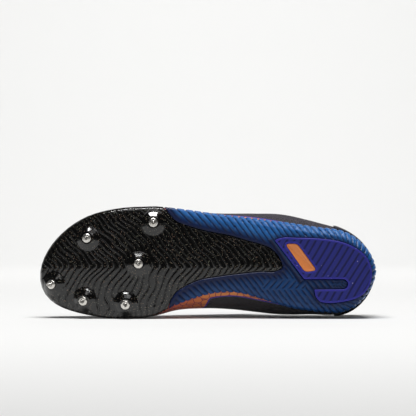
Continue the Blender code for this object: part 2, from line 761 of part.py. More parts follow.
def make_overlays(grid, normals, shoe, group, material):
    """Films on the upper: an eyestay round the throat and a heel counter, and the heel's tab."""
    first = math.ceil(throat_place(grid, TONGUE_AT[0], 1))
    last = math.floor(throat_place(grid, TONGUE_AT[0], -1))
    throat = range(first, last + 1)
    patch("eyestay", grid, normals, throat, range(ROWS - 2, ROWS + 1), group, shoe, material)
    heel = range(-HEEL_SPAN, HEEL_SPAN + 1)
    patch("heel_counter", grid, normals, heel, range(2, 7), group, shoe, material)
    width = TAB_WIDTH / 2 / (grid[1][ROWS] - grid[0][ROWS]).length
    points = []
    for place in (-width, 0.0, width):
        column = []
        for row in range(ROWS - 3, ROWS + 1):
            normal = grid_point(normals, place, row).normalized()
            column.append(grid_point(grid, place, row) + normal * GAP * 3)
        rise = (column[-1] - column[-2]).normalized()
        column.append(column[-1] + rise * TAB_RISE)
        points.append(column)
    sheet("heel_tab", points, False, TAB, 1, group, shoe, material)


def lace_place(grid, normals, number, side, row, height):
    """A place on one side of the throat, at a height above the upper; 0 is the top eyelet."""
    first, last = TOP_EYELET, LOW_EYELET
    at = first + (last - first) * number / (EYELETS - 1)
    place = throat_place(grid, at, side)
    normal = grid_point(normals, place, row).normalized()
    return grid_point(grid, place, row) + normal * height


def lace_band(knots):
    """A flat band on a smooth curve through its knots."""
    steps = 8
    up = Vector((0.35, 0, 1)).normalized()
    spans = [0.0]
    for a, b in zip(knots, knots[1:]):
        spans.append(spans[-1] + (b - a).length)

    def at(place):
        return Vector([between(spans, [k[axis] for k in knots], place, free=True)
                       for axis in range(3)])

    rings = []
    for k in range(steps + 1):
        place = spans[-1] * k / steps
        ahead = (at(place + LACE) - at(place - LACE)).normalized()
        across = ahead.cross(up).normalized() * LACE_WIDTH / 2
        thick = across.cross(ahead).normalized() * LACE / 2
        spot = at(place)
        rings.append([spot + across + thick, spot - across + thick, spot - across - thick,
                      spot + across - thick])
    return ring_mesh(rings, False)


def make_laces(grid, normals, shoe, group, cutters, material):
    """One straight bar at the vamp and crossed bands up to the top eyelets."""
    seat = OVERLAY_SEAT + OVERLAY + GAP * 2 + LACE / 2

    def over(number, side, row, tilt=LACE_TILT):
        return lace_place(grid, normals, number, side, row, seat + tilt)

    def middle(one, other):
        lift = Vector((0.35, 0, 1)).normalized() * (one - other).length * LACE_ARCH
        return (one + other) / 2 + lift

    low = EYELETS - 1
    edges = [over(low, side, ROWS, 0.0) for side in (1, -1)]
    knots = [over(low, 1, ROWS - 1, 0.0), edges[0], middle(*edges), edges[1],
             over(low, -1, ROWS - 1, 0.0)]
    add_object("lace_bar", lace_band(knots), group, shoe, material)
    for number in range(1, EYELETS - 1):
        bands = []
        for side in (1, -1):
            edge = over(number - 0.15, side, ROWS)
            far = over(number - 0.75, -side, ROWS)
            centre = middle(edge, far)
            dive = far.lerp(centre, 0.22) - Vector((0, 0, LACE * 1.2))
            bands.append(lace_band([over(number, side, ROWS - 1), edge, centre, dive]))
        crossing = add_object(f"lace_cross_{number}", bands[0], group, shoe, material)
        partner = cutter(f"lace_partner_{number}", bands[1], cutters, shoe)
        boolean(crossing, partner, "UNION")


def rest_pose(things):
    """Turns the shoe onto the medial facet of its hull that carries its weight with the sole most upright."""
    bpy.context.view_layer.update()
    graph = bpy.context.evaluated_depsgraph_get()
    hull = bmesh.new()
    volume, moment = 0.0, Vector()
    for thing in things:
        data = thing.evaluated_get(graph).to_mesh()
        data.transform(thing.matrix_world)
        data.calc_loop_triangles()
        points = [v.co.copy() for v in data.vertices]
        density = DENSITY.get(thing.data.materials[0].name, LIGHT)
        for triangle in data.loop_triangles:
            a, b, c = (points[k] for k in triangle.vertices)
            part = a.dot(b.cross(c)) / 6 * density
            volume += part
            moment += (a + b + c) / 4 * part
        for point in points:
            hull.verts.new(point)
        thing.evaluated_get(graph).to_mesh_clear()
    weight = moment / volume
    bmesh.ops.convex_hull(hull, input=hull.verts)
    best = None
    for face in hull.faces:
        normal = face.normal
        if normal.dot(face.verts[0].co - weight) < 0:
            normal = -normal
        if normal.y > -0.8:
            continue
        drop = normal.dot(face.verts[0].co - weight)
        foot = weight + normal * drop
        corners = [v.co for v in face.verts]
        inside = True
        for a, b in zip(corners, corners[1:] + corners[:1]):
            other = next(c for c in corners if c is not a and c is not b)
            edge_out = (b - a).cross(normal)
            if edge_out.dot(other - a) > 0:
                edge_out = -edge_out
            inside = inside and edge_out.dot(foot - a) <= 0
        if inside and (best is None or abs(normal.z) < abs(best.z)):
            best = normal.copy()
    hull.free()
    down = best if best else Vector((0, -1, 0))
    up = -down
    left = (Vector((-1, 0, 0)) - up * up.dot(Vector((-1, 0, 0)))).normalized()
    back = up.cross(left)
    turn = Matrix((left, back, up)).to_4x4()
    return turn


def place(shoe, things):
    """Lays the shoe down and moves it so that the middle of its underside is the origin."""
    shoe.matrix_world = rest_pose(things)
    bpy.context.view_layer.update()
    graph = bpy.context.evaluated_depsgraph_get()
    low, high = Vector((1, 1, 1)), Vector((-1, -1, -1))
    for thing in things:
        data = thing.evaluated_get(graph).to_mesh()
        for vertex in data.vertices:
            point = thing.matrix_world @ vertex.co
            low = Vector(map(min, low, point))
            high = Vector(map(max, high, point))
        thing.evaluated_get(graph).to_mesh_clear()
    shift = Vector(((low.x + high.x) / 2, (low.y + high.y) / 2, low.z))
    shoe.matrix_world = Matrix.Translation(-shift) @ shoe.matrix_world
    bpy.context.view_layer.update()


def build():
    """Makes every piece of the shoe and lays it on its side."""
    clear_scene()
    group = new_collection("track_spike_shoe")
    cutters = new_collection("cutters")
    shoe = bpy.data.objects.new("shoe", None)
    group.objects.link(shoe)
    materials = {name: make_material(name) for name in MATERIALS}
    line = edge_line()
    runs = last_runs(line)
    grid, normals = upper_grid(line, runs)

    make_plate(line, runs, shoe, group, cutters, materials["plate"])
    make_midsole(line, runs, shoe, group, cutters, materials["foam"])
    make_heel_pad(shoe, group, cutters, materials["pad"])
    make_badge(shoe, group, materials["badge"])
    make_spikes(shoe, group, materials["steel"])
    sheet("upper", grid, True, WALL, -1, group, shoe, materials["mesh"])
    make_insole(line, shoe, group, materials["lining"])
    make_tongue(grid, normals, shoe, group, materials["lining"])
    make_overlays(grid, normals, shoe, group, materials["overlay"])
    make_laces(grid, normals, shoe, group, cutters, materials["lace"])
    place(shoe, [thing for thing in group.objects if thing.type == "MESH"])


build()
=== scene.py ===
import json
import math

import bmesh
import bpy
import numpy as np
from mathutils import Matrix, Vector
from mathutils.bvhtree import BVHTree


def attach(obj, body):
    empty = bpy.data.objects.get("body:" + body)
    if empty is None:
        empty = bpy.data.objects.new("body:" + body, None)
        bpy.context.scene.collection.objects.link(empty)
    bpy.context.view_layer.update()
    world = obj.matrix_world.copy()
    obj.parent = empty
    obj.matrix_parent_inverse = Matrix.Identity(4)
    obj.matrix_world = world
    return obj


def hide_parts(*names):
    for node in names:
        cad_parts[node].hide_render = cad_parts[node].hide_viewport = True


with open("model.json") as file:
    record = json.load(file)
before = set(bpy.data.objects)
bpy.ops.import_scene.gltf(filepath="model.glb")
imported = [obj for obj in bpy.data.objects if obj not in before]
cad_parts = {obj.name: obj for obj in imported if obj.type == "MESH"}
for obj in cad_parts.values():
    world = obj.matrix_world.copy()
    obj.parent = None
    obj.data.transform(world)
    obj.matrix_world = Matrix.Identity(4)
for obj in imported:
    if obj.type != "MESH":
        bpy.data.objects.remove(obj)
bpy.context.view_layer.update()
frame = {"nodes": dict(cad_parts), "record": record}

# The shoe's own axes: u runs from heel to toe, w to the lateral side, h from the ground up.
# The record's heel mount fixes them, so patterns are drawn on the shoe and not on the floor.
# Nothing is made here: every later piece is measured and placed with these.
mount = next(m for m in frame["record"]["mounts"] if m["name"] == "heel_tread")
up_axis = -Vector(mount["axis"]).normalized()
toe_axis = Vector((up_axis.z, 0, -up_axis.x)).normalized()
toe_axis *= -math.copysign(1, toe_axis.x)
side_axis = up_axis.cross(toe_axis)
origin = Vector(mount["pos_m"]) - toe_axis * 0.040 - side_axis * 0.004 + up_axis * 0.001


def row_point(u, w, h):
    """A place on the shoe, in millimetres, in the row's frame."""
    return origin + (toe_axis * u + side_axis * w + up_axis * h) / 1000


# Forefoot plate: hard glossy plastic flecked with glitter, moulded with wavy ridges.
# Six cones on it hold the spikes, and it is glued into the front of the foam.
# The helpers that every piece uses are defined here, with the first piece.
def linear(code):
    """An sRGB hex colour as the linear colour a shader takes."""
    parts = [int(code[k:k + 2], 16) / 255 for k in (1, 3, 5)]
    return (*[c / 12.92 if c <= 0.04045 else ((c + 0.055) / 1.055) ** 2.4 for c in parts], 1.0)


def add_node(tree, kind, fields=None, **sockets):
    """Adds a shader node; sockets are named, or i0, i1 ... by place, and take values or links."""
    node = tree.nodes.new("ShaderNode" + kind)
    for field, value in (fields or {}).items():
        setattr(node, field, value)
    for name, value in sockets.items():
        key = int(name[1:]) if name[0] == "i" and name[1:].isdigit() else name.replace("_", " ")
        if isinstance(value, bpy.types.NodeSocket):
            tree.links.new(value, node.inputs[key])
        else:
            node.inputs[key].default_value = value
    return node


def new_material(name):
    """An empty material, its node tree and its output."""
    material = bpy.data.materials.new(name)
    material.use_nodes = True
    tree = material.node_tree
    tree.nodes.clear()
    return material, tree, add_node(tree, "OutputMaterial")


def finish_material(tree, output, **sockets):
    """Closes a material with one Principled shader."""
    shader = add_node(tree, "BsdfPrincipled", **sockets)
    tree.links.new(shader.outputs[0], output.inputs[0])


def calc(tree, operation, a, b=0.0, c=0.0):
    """One step of arithmetic in a shader."""
    return add_node(tree, "Math", {"operation": operation}, i0=a, i1=b, i2=c).outputs[0]


def step_up(tree, value, low, high):
    """0 below low, 1 above high, smooth between; the limits may be swapped."""
    node = add_node(tree, "MapRange", {"interpolation_type": "SMOOTHSTEP"}, Value=value,
                    From_Min=low, From_Max=high)
    return node.outputs[0]


def blend(tree, share, a, b):
    """A mix of two colours."""
    node = add_node(tree, "Mix", {"data_type": "RGBA"}, Factor=share, i6=a, i7=b)
    return node.outputs[2]


def measured(tree, name):
    """A value stored on the mesh's points."""
    return add_node(tree, "Attribute", {"attribute_name": name}).outputs["Fac"]


def bump(tree, height, distance, normal=None):
    """Raises the surface by a height of 0 to 1 times a distance in metres."""
    node = add_node(tree, "Bump", Height=height, Distance=distance)
    if normal:
        tree.links.new(normal, node.inputs["Normal"])
    return node.outputs[0]


def object_space(tree):
    """The piece's own coordinates, in metres."""
    return add_node(tree, "TexCoord").outputs["Object"]


def skin(node):
    """A CAD node's mesh with its corners merged."""
    mesh = bmesh.new()
    mesh.from_mesh(frame["nodes"][node].data)
    bmesh.ops.remove_doubles(mesh, verts=mesh.verts, dist=0.00001)
    return mesh


def show(mesh, name, materials, node=None):
    """Makes an object of a bmesh that rides on the shoe, in place of a CAD node if one is named."""
    data = bpy.data.meshes.new(name)
    mesh.to_mesh(data)
    mesh.free()
    data.materials.clear()
    for material in materials:
        data.materials.append(material)
    thing = bpy.data.objects.new(name, data)
    bpy.context.scene.collection.objects.link(thing)
    thing.data.shade_smooth()
    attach(thing, "root")
    if node:
        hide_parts(node)
    return thing


def settle(thing):
    """Turns an object's modifiers into its mesh."""
    graph = bpy.context.evaluated_depsgraph_get()
    data = bpy.data.meshes.new_from_object(thing.evaluated_get(graph))
    thing.modifiers.clear()
    thing.data = data
    data.shade_smooth()
    return thing


def even_skin(thing, voxel):
    """Divides a closed piece into even faces, fine enough to carry its pattern."""
    remesh = thing.modifiers.new("even", "REMESH")
    remesh.mode = "VOXEL"
    remesh.voxel_size = voxel
    remesh.use_smooth_shade = True
    return settle(thing)


def places(thing):
    """The points of a piece as columns u, w and h, in millimetres."""
    flat = np.empty(len(thing.data.vertices) * 3)
    thing.data.vertices.foreach_get("co", flat)
    offset = flat.reshape(-1, 3) - np.array(origin)
    return (offset @ np.array((toe_axis, side_axis, up_axis)).T * 1000).T


def directions(thing):
    """The normals of a piece as columns along u, w and h."""
    flat = np.empty(len(thing.data.vertices) * 3)
    thing.data.vertices.foreach_get("normal", flat)
    return (flat.reshape(-1, 3) @ np.array((toe_axis, side_axis, up_axis)).T).T


def push(thing, amounts, along=None):
    """Moves the points by amounts in millimetres along their normals or one direction."""
    flat = np.empty(len(thing.data.vertices) * 3)
    thing.data.vertices.foreach_get("co", flat)
    way = np.empty(len(flat))
    thing.data.vertices.foreach_get("normal", way)
    way = way.reshape(-1, 3) if along is None else np.array(along)
    moved = flat.reshape(-1, 3) + np.asarray(amounts)[:, None] / 1000 * way
    thing.data.vertices.foreach_set("co", moved.ravel())
    thing.data.update()


def store(thing, name, values):
    """Keeps one value on each point, for a material to read."""
    attribute = thing.data.attributes.new(name, "FLOAT", "POINT")
    attribute.data.foreach_set("value", np.asarray(values, np.float32))


def ease(values, low, high):
    """0 below low, 1 above high, smooth between."""
    share = np.clip((values - low) / (high - low), 0, 1)
    return share * share * (3 - 2 * share)


def tree_of(node, keep=None):
    """A search tree of a CAD node's faces, or of those whose normal passes a test."""
    data = frame["nodes"][node].data
    faces = [p.vertices[:] for p in data.polygons if keep is None or keep(p.normal)]
    return BVHTree.FromPolygons([v.co[:] for v in data.vertices], faces)


def distance_to(thing, search):
    """How far each point is from a search tree's faces, in millimetres."""
    return np.array([search.find_nearest(v.co, 0.05)[3] or 0.05 for v in thing.data.vertices]) * 1000


def groove(phase, pitch, flat, edge):
    """1 in the middle of each groove, 0 on the ridge between; all but the phase in millimetres."""
    reach = np.abs(phase - np.round(phase)) * pitch
    return 1 - ease(reach, flat, edge)


RIDGE_PITCH = 5.4  # mm from ridge to ridge along the shoe
RIDGE_DEPTH = 0.32  # mm
CREST = 2.0  # w of the line where the ridges turn back, mm
CONES = ((192, 41.1), (204.9, 6), (216, -28.7), (248.2, 28.1), (251.5, -25.4), (278.7, -11.6))  # u, w
CONE_EDGE = (9.6, 11.5)  # the ridges rise between these distances from a cone's middle, mm
FLECK = 0.0008  # m, size of a glitter fleck
PLATE_VOXEL = 0.0008  # m


def ridge_phase(u, w):
    """Counts the plate's ridges, which bend back at the crest, waver and part round the cones."""
    outward = np.maximum(w - CREST, 0)
    inward = np.maximum(CREST - w, 0)
    swept = 0.87 * (np.sqrt(outward ** 2 + 16) - 4) + 13.5 * (1 - np.exp(-inward ** 1.3 / 30))
    wave = 1.3 * np.sin(w / 8 + u / 19) + 1.0 * np.sin(u / 11 - w / 5) + 0.7 * np.sin(w / 3.1 + u / 6.3)
    parted = sum(4.5 * (u - a) / 13 * np.exp(-((u - a) ** 2 + (w - b) ** 2) / 190) for a, b in CONES)
    return (u - swept + wave + parted) / RIDGE_PITCH


material, tree, output = new_material("glitter_gloss_plastic")  # injection-moulded, film-flecked
space = object_space(tree)
phase = measured(tree, "ridge")
reach = calc(tree, "PINGPONG", phase, 0.5)
mask = measured(tree, "ridged")
hollow = calc(tree, "MULTIPLY", step_up(tree, reach, 0.115, 0.05), mask)
flecks = add_node(tree, "TexVoronoi", Vector=space, Scale=1 / FLECK)
chosen = add_node(tree, "SeparateColor", i0=flecks.outputs["Color"])
bright = calc(tree, "MULTIPLY", step_up(tree, chosen.outputs[0], 0.80, 0.86),
              step_up(tree, flecks.outputs["Distance"], 0.42, 0.26))
fleck_colour = blend(tree, chosen.outputs[1], linear("#A9B09A"), linear("#B8937F"))
mottle = add_node(tree, "TexNoise", Vector=space, Scale=1 / 0.0011, Detail=3.0)
base = blend(tree, mottle.outputs[0], linear("#010101"), linear("#060606"))
base = blend(tree, calc(tree, "MULTIPLY", bright, 0.5), base, fleck_colour)
# Painted shade: the grooves between the ridges are darkened almost to black.
base = blend(tree, calc(tree, "MULTIPLY", hollow, 0.9), base, linear("#020202"))
# Painted highlight: a thin pale grey line along each groove's edge, mostly on the lateral half, stands in
# for glints off the ridges.
painted_edge_highlight = calc(tree, "MULTIPLY", step_up(tree, reach, 0.11, 0.14), step_up(tree, reach, 0.19, 0.16))
depth = measured(tree, "depth")
painted_edge_highlight = calc(tree, "MULTIPLY", calc(tree, "MULTIPLY", painted_edge_highlight, mask), calc(tree, "SUBTRACT", 1.0, depth))
base = blend(tree, calc(tree, "MULTIPLY", painted_edge_highlight, 0.16), base, linear("#6A6B64"))
crowned = bump(tree, measured(tree, "crown"), 1.0)
carved = bump(tree, calc(tree, "MULTIPLY", hollow, depth), -0.00042, crowned)
grained = bump(tree, mottle.outputs[0], 0.000015, carved)
rough = calc(tree, "MULTIPLY_ADD", mottle.outputs[0], 0.08, 0.07)
finish_material(tree, output, Base_Color=base, Roughness=rough, Normal=grained, IOR=1.5,
                Coat_Weight=0.25, Coat_Roughness=0.05)
plate = show(skin("outsole_plate"), "plate", [material], "outsole_plate")
even_skin(plate, PLATE_VOXEL)
u, w = places(plate)[:2]
along_h = directions(plate)[2]
cones = np.min([np.hypot(u - a, w - b) for a, b in CONES], axis=0)
ridged = ease(cones, *CONE_EDGE) * ease(-along_h, 0.1, 0.5)
rim = distance_to(plate, tree_of("outsole_plate", lambda n: abs(n.dot(up_axis)) < 0.5))
ridge = ridge_phase(u, w)
depth = 1 - 0.80 * ease(w, CREST - 2, CREST + 4)
grooves = groove(ridge, RIDGE_PITCH, 0.3, 0.85) * ridged * ease(rim, 0.5, 2.0)
push(plate, -RIDGE_DEPTH * depth * grooves)
store(plate, "depth", depth)
store(plate, "ridge", ridge)
store(plate, "ridged", ridged)
crown = np.where(w > CREST, -0.00013, -0.00006)  # m of shading height for each mm from the crest
store(plate, "crown", crown * (np.sqrt((w - CREST) ** 2 + 9) - 3))

# Spikes: six turned steel pins with a flange, screwed into the plate's cones.
# Turning and wear leave an uneven sheen, and the edges are broken by a small chamfer.
material, tree, output = new_material("turned_steel")  # machined spike steel
wear = add_node(tree, "TexNoise", Vector=object_space(tree), Scale=1 / 0.0007, Detail=2.0)
rough = step_up(tree, wear.outputs[0], -0.4, 2.2)
finish_material(tree, output, Base_Color=linear("#D8D5CF"), Metallic=1.0, Roughness=rough,
                Normal=bump(tree, wear.outputs[0], 0.00004))
for k in range(1, len(CONES) + 1):
    mesh = skin(f"spike_{k}")
    sharp = [e for e in mesh.edges if len(e.link_faces) == 2 and e.calc_face_angle() > 0.6]
    bmesh.ops.bevel(mesh, geom=sharp, affect="EDGES", offset=0.00018, segments=2, profile=0.5,
                    material=-1)
    show(mesh, f"spike_pin_{k}", [material], f"spike_{k}")

# Midsole: a cup of blue foam whose slanting ribs wrap the sides and the underside.
# A smooth rail is left beside the plate, and a trench runs in front of the heel pad. Ribs on a
# strip of the medial waist slant the other way. All sizes here are in millimetres but the voxel's.
RIB_PITCH = 5.8
HEEL_CENTRE = 38.0
HEEL_RADIUS = 36.0
MIDDLE_LINE = ((0, 38, 69, 84, 100, 121, 142, 160, 186),
               (-2, -1, 2.7, 5.8, 9.5, 13.4, 14.4, 13.3, 9))
TRENCH = ((91.5, 25.0), (66.5, -10.5))
STRIP_U = (62, 98)
STRIP_W = (-16.5, -8.5)
STRIP_PITCH = 5.6
GROOVE_DEPTH = 0.9
FOAM_VOXEL = 0.0008


def middle(u):
    """The sole's middle line, which swings out to the lateral side at the waist."""
    return np.interp(u, *MIDDLE_LINE)


def rib_phase(u, w):
    """Counts the ribs from the lateral tip round the heel to the medial tip."""
    across = w - middle(u)
    angle = np.arctan2(u - HEEL_CENTRE, across)
    back = np.hypot(u - HEEL_CENTRE, w - middle(HEEL_CENTRE))
    behind = u < HEEL_CENTRE
    run = np.where(behind, -HEEL_RADIUS * angle,
                   np.where(across > 0, HEEL_CENTRE - u, math.pi * HEEL_RADIUS + u - HEEL_CENTRE))
    reach = np.where(behind, back, np.abs(across))
    return (run + 0.85 * reach) / RIB_PITCH


def segment_distance(u, w, a, b):
    """Distance of each point from a straight line on the sole."""
    run = np.array(b) - np.array(a)
    share = np.clip(((u - a[0]) * run[0] + (w - a[1]) * run[1]) / run.dot(run), 0, 1)
    return np.hypot(u - a[0] - share * run[0], w - a[1] - share * run[1])


material, tree, output = new_material("moulded_eva_foam")  # closed-cell foam, blue fading to navy
space = object_space(tree)
cells = add_node(tree, "TexNoise", Vector=space, Scale=1 / 0.0007, Detail=2.0)
cloud = add_node(tree, "TexNoise", Vector=space, Scale=1 / 0.017, Detail=3.0)
hollow = measured(tree, "hollow")
fade_and_shade = measured(tree, "fade_and_shade")
# The foam runs from navy to blue: a real paint fade away from the plate and pad, and painted shade that
# darkens the medial side, which lies on the floor. The lighter clouds follow the same share.
base = blend(tree, fade_and_shade, linear("#07173F"), linear("#16569C"))
clouded = calc(tree, "MULTIPLY", cloud.outputs[0], calc(tree, "MULTIPLY", fade_and_shade, 0.35))
base = blend(tree, clouded, base, linear("#4A92D2"))
# Painted shade: faces turned up toward the upper, under the insole and inside the collar, are darkened to
# the upper's charcoal.
base = blend(tree, measured(tree, "covered_shade"), base, linear("#17141C"))
# Painted shade: the rib grooves and the trench are darkened to deep navy.
base = blend(tree, calc(tree, "MULTIPLY", hollow, 0.88), base, linear("#0B1236"))
finish_material(tree, output, Base_Color=base, Roughness=0.38, Specular_IOR_Level=0.26,
                Normal=bump(tree, cells.outputs[0], 0.00008))
foam = even_skin(show(skin("midsole"), "foam_cup", [material], "midsole"), FOAM_VOXEL)
u, w, h = places(foam)
along_u, along_w, along_h = directions(foam)
to_plate = distance_to(foam, tree_of("outsole_plate"))
to_pad = distance_to(foam, tree_of("heel_outsole"))
at_waist = (u > STRIP_U[0]) & (u < STRIP_U[1])
strip = at_waist & (w > STRIP_W[0]) & (w < STRIP_W[1])
phase = np.where(strip, (u + 0.9 * w) / STRIP_PITCH, rib_phase(u, w))
behind_u = u - HEEL_CENTRE
behind_w = w - middle(HEEL_CENTRE)
round_heel = (along_u * behind_u + along_w * behind_w) / np.maximum(np.hypot(behind_u, behind_w), 1)
outward = np.where(u < HEEL_CENTRE, round_heel, along_w * np.sign(w - middle(u)))
ribbed = ease(to_plate, 2.2, 3.6) * ease(to_pad, 0.5, 1.3)
ribbed = ribbed * ease(np.maximum(outward, -along_h), 0.15, 0.5)
strip_edge = np.minimum(np.abs(w - STRIP_W[0]), np.abs(w - STRIP_W[1]))
hollow = groove(phase, RIB_PITCH, 0.25, 0.95) * ribbed
hollow = hollow * np.where(at_waist, ease(strip_edge, 0.3, 1.0), 1)
trench = 1 - ease(segment_distance(u, w, *TRENCH), 0.9, 1.9)
hollow = np.maximum(hollow, trench * ease(-along_h, 0.3, 0.6))
reach = np.abs(phase - np.round(phase))
rounded = 0.35 * ribbed * ease(-along_h, -0.3, 0.3) * (1 - np.sin(math.pi * reach))
push(foam, -GROOVE_DEPTH * hollow - rounded)
store(foam, "hollow", hollow)
# Painted shade: the medial side, which lies on the floor, keeps only 0.28 of the blue share.
painted_side_light = 0.28 + 0.72 * ease(w - middle(u), -12, 8)
rim_share = ease(h, 6, 13) * ease(70 - u, 0, 30)
fade_and_shade = ease(np.minimum(to_plate, to_pad + 4), 2.0, 12.0) * painted_side_light
store(foam, "fade_and_shade", np.maximum(fade_and_shade, rim_share))
# Painted shade under the upper: the more a face turns up toward it, the darker.
store(foam, "covered_shade", ease(along_h, 0.6, 0.9))

# Heel pad: purple rubber let into the foam, ribbed on the slant inside a smooth border.
# It stands a millimetre proud of the foam, and foam shows through its slot.
PAD_PITCH = 6.2  # mm
PAD_VOXEL = 0.0005  # m
material, tree, output = new_material("heel_pad_rubber")  # moulded rubber with pale specks
space = object_space(tree)
specks = add_node(tree, "TexVoronoi", Vector=space, Scale=1 / 0.0014)
chosen = add_node(tree, "SeparateColor", i0=specks.outputs["Color"])
pale = calc(tree, "MULTIPLY", step_up(tree, chosen.outputs[0], 0.985, 0.995),
            step_up(tree, specks.outputs["Distance"], 0.35, 0.2))
hollow = measured(tree, "hollow")
rubber_grain = add_node(tree, "TexNoise", Vector=space, Scale=1 / 0.0009, Detail=2.0)
# Painted shade: the grooves between the ribs are darker than the ribs.
base = blend(tree, hollow, linear("#22277A"), linear("#121650"))
base = blend(tree, measured(tree, "border"), base, linear("#2D2C92"))
base = blend(tree, pale, base, linear("#A9A4D8"))
finish_material(tree, output, Base_Color=base, Roughness=0.52, Specular_IOR_Level=0.3,
                Normal=bump(tree, rubber_grain.outputs[0], 0.00006))
pad = even_skin(show(skin("heel_outsole"), "heel_pad", [material], "heel_outsole"), PAD_VOXEL)
u, w = places(pad)[:2]
along_h = directions(pad)[2]
border = distance_to(pad, tree_of("heel_outsole", lambda n: abs(n.dot(up_axis)) < 0.6))
phase = (u + 0.55 * w + 1.5 * np.sin(w / 14)) / PAD_PITCH
inside = ease(border, 1.2, 1.9) * ease(-along_h, 0.5, 0.8)
hollow = groove(phase, PAD_PITCH, 0.3, 1.6) * inside
push(pad, -0.5 * hollow)
store(pad, "hollow", hollow)
store(pad, "border", 1 - inside)

# Plaque: a small orange moulding clipped into the rubber pad above its slot.
# A raised border runs round a plain field, and the edges are rounded a little.
material, tree, output = new_material("plaque_plastic")  # satin moulded plastic
grain = add_node(tree, "TexNoise", Vector=object_space(tree), Scale=1 / 0.00125, Detail=3.0)
base = blend(tree, grain.outputs[0], linear("#DD7F3E"), linear("#EB9150"))
finish_material(tree, output, Base_Color=base, Roughness=0.42,
                Normal=bump(tree, grain.outputs[0], 0.00005))
mesh = skin("heel_badge")
faces = [f for f in mesh.faces if f.normal.dot(up_axis) < -0.9]
field = bmesh.ops.dissolve_faces(mesh, faces=faces, use_verts=False)["region"]
bmesh.ops.inset_region(mesh, faces=field, thickness=0.0012, depth=0.0)
bmesh.ops.inset_region(mesh, faces=field, thickness=0.0003, depth=0.0)
bmesh.ops.translate(mesh, verts=list({v for f in field for v in f.verts}), vec=up_axis * 0.0004)
sharp = [e for e in mesh.edges if len(e.link_faces) == 2 and e.calc_face_angle() > 0.9]
bmesh.ops.bevel(mesh, geom=sharp, affect="EDGES", offset=0.00025, segments=2, profile=0.5, material=-1)
plaque = show(mesh, "plaque", [material], "heel_badge")
plaque.data.set_sharp_from_angle(angle=math.radians(30))

# Upper: one knitted wall, charcoal at the toe and heel, with a printed orange and red panel.
# The panel is crackled into small cells and edged with a purple line, and runs back along
# the foam as a narrow tail. The inside is a plain lining. Creases and padding are pushed in.
COLLAR_LINE = ((13, 17, 34, 60, 88, 112, 134, 150, 164, 182, 192),
               (78, 75, 67.5, 59.7, 66.7, 83, 76.5, 72, 65.5, 58.5, 55))  # u, and the edge's height there
TAIL_LINE = ((66, 78, 110, 150, 175), (-1.5, 2.5, 6.5, 9.0, 9.0))  # u, and the tail's height there
FLEX_CREASES = ((196, 0.20, 3.2, -0.7), (203, 0.28, 2.6, 0.35), (210, 0.34, 3.0, -0.6),
                (219, 0.40, 2.4, 0.25), (227, 0.46, 3.2, -0.45))  # u, slant, width, height in mm
ANKLE_CREASES = ((44, 0.35, 2.6, -0.6), (37, 0.30, 2.2, 0.3), (31, 0.24, 2.6, -0.4))  # the same, from h
KNIT_PITCH = 0.0011  # m
LINING_PITCH = 0.0009  # m
STITCH = 0.0026  # m
WAVE = 0.314  # a wave texture of scale 1 repeats after this many metres


def smooth_skin(node, levels=2):
    """A CAD node's mesh with its triangles paired and its curves rounded."""
    mesh = skin(node)
    bmesh.ops.join_triangles(mesh, faces=mesh.faces, angle_face_threshold=math.radians(35),
                             angle_shape_threshold=math.radians(70))
    data = bpy.data.meshes.new(node + "_round")
    mesh.to_mesh(data)
    mesh.free()
    thing = bpy.data.objects.new(node + "_round", data)
    bpy.context.scene.collection.objects.link(thing)
    rounding = thing.modifiers.new("round", "SUBSURF")
    rounding.levels = levels
    rounding.render_levels = levels
    settle(thing)
    mesh = bmesh.new()
    mesh.from_mesh(thing.data)
    bpy.data.objects.remove(thing)
    return mesh


def knit(tree, space, pitch):
    """Height of a knitted cloth: slanting rows of small loops."""
    turned = add_node(tree, "Mapping", Vector=space, Rotation=(0.4, 0.7, 0.6), Scale=(1 / pitch,) * 3)
    loops = add_node(tree, "TexVoronoi", {"feature": "SMOOTH_F1"}, Vector=turned.outputs[0],
                     Scale=1.0, Smoothness=0.3, Randomness=0.75)
    return step_up(tree, loops.outputs["Distance"], 0.62, 0.2)


upper_cloth, tree, output = new_material("knitted_mesh_upper")  # engineered mesh with printed film
space = object_space(tree)
loops = knit(tree, space, KNIT_PITCH)
panel = measured(tree, "panel")
along = measured(tree, "along")
cells = add_node(tree, "Mapping", Vector=space, Scale=(1 / 0.006,) * 3)
crack = add_node(tree, "TexVoronoi", {"feature": "DISTANCE_TO_EDGE"}, Vector=cells.outputs[0],
                 Scale=1.0, Randomness=0.8)
line = step_up(tree, crack.outputs["Distance"], 0.085, 0.035)
dapple = add_node(tree, "TexNoise", Vector=space, Scale=1 / 0.0077, Detail=4.0)
warm = blend(tree, step_up(tree, along, 138.0, 178.0), linear("#D8813F"), linear("#BE2C1C"))
warm = blend(tree, calc(tree, "MULTIPLY", dapple.outputs[0], 0.45), warm, linear("#F0A05C"))
warm = blend(tree, calc(tree, "MULTIPLY", line, 0.85), warm, linear("#7E1C45"))
dark = blend(tree, loops, linear("#17141B"), linear("#42394A"))
